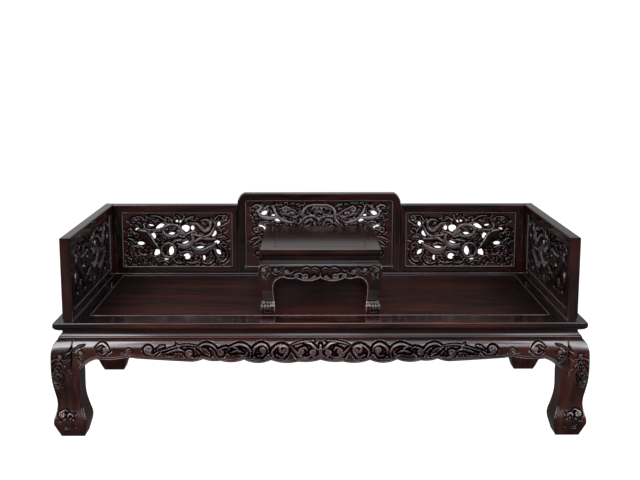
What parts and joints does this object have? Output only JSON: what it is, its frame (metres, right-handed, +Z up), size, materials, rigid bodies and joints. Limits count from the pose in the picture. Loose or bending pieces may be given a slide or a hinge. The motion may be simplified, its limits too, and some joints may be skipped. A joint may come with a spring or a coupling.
{
  "type": "luohan daybed",
  "caption": "Rosewood luohan daybed with a waisted seat on curved square legs, pierced carved railings on three sides and a low kang table standing on the seat.",
  "frame": {"origin": "on the floor under the middle of the seat", "axes": "+X along the seat to the right seen from the front, +Y to the back railing, +Z up"},
  "size_m": [2.0724, 1.0124, 0.834],
  "materials": {
    "rosewood_frame": "polished",
    "rosewood_carved": "polished",
    "rosewood_boards": "polished"
  },
  "bodies": {
    "bed": {"apron_front": "rosewood_carved", "apron_left": "rosewood_carved", "apron_rear": "rosewood_carved", "apron_right": "rosewood_carved", "back_centre_bottom_rail": "rosewood_frame", "back_centre_left_stile": "rosewood_frame", "back_centre_panel": "rosewood_carved", "back_centre_right_stile": "rosewood_frame", "back_centre_top_rail": "rosewood_frame", "back_left_bottom_rail": "rosewood_frame", "back_left_inner_stile": "rosewood_frame", "back_left_outer_stile": "rosewood_frame", "back_left_panel": "rosewood_carved", "back_left_top_rail": "rosewood_frame", "back_right_bottom_rail": "rosewood_frame", "back_right_inner_stile": "rosewood_frame", "back_right_outer_stile": "rosewood_frame", "back_right_panel": "rosewood_carved", "back_right_top_rail": "rosewood_frame", "end_left_bottom_rail": "rosewood_frame", "end_left_front_stile": "rosewood_frame", "end_left_panel": "rosewood_carved", "end_left_rear_stile": "rosewood_frame", "end_left_top_rail": "rosewood_frame", "end_right_bottom_rail": "rosewood_frame", "end_right_front_stile": "rosewood_frame", "end_right_panel": "rosewood_carved", "end_right_rear_stile": "rosewood_frame", "end_right_top_rail": "rosewood_frame", "leg_front_left": "rosewood_carved", "leg_front_right": "rosewood_carved", "leg_rear_left": "rosewood_carved", "leg_rear_right": "rosewood_carved", "railing_dovetail_keys": "rosewood_frame", "railing_seat_pins": "rosewood_frame", "seat_battens": "rosewood_frame", "seat_boards": "rosewood_boards", "seat_rail_front": "rosewood_frame", "seat_rail_left": "rosewood_frame", "seat_rail_rear": "rosewood_frame", "seat_rail_right": "rosewood_frame", "waist_front": "rosewood_frame", "waist_left": "rosewood_frame", "waist_rear": "rosewood_frame", "waist_right": "rosewood_frame"},
    "kang_table": {"table_apron_front": "rosewood_carved", "table_apron_left": "rosewood_carved", "table_apron_rear": "rosewood_carved", "table_apron_right": "rosewood_carved", "table_leg_front_left": "rosewood_carved", "table_leg_front_right": "rosewood_carved", "table_leg_rear_left": "rosewood_carved", "table_leg_rear_right": "rosewood_carved", "table_top_battens": "rosewood_frame", "table_top_boards": "rosewood_boards", "table_top_rail_front": "rosewood_frame", "table_top_rail_left": "rosewood_frame", "table_top_rail_rear": "rosewood_frame", "table_top_rail_right": "rosewood_frame", "table_waist": "rosewood_frame"}
  },
  "joints": [
    {"name": "kang_table_lift", "type": "slide", "parent": "bed", "child": "kang_table", "axis": [0, 0, 1], "range_m": [0, 0.45]}
  ]
}
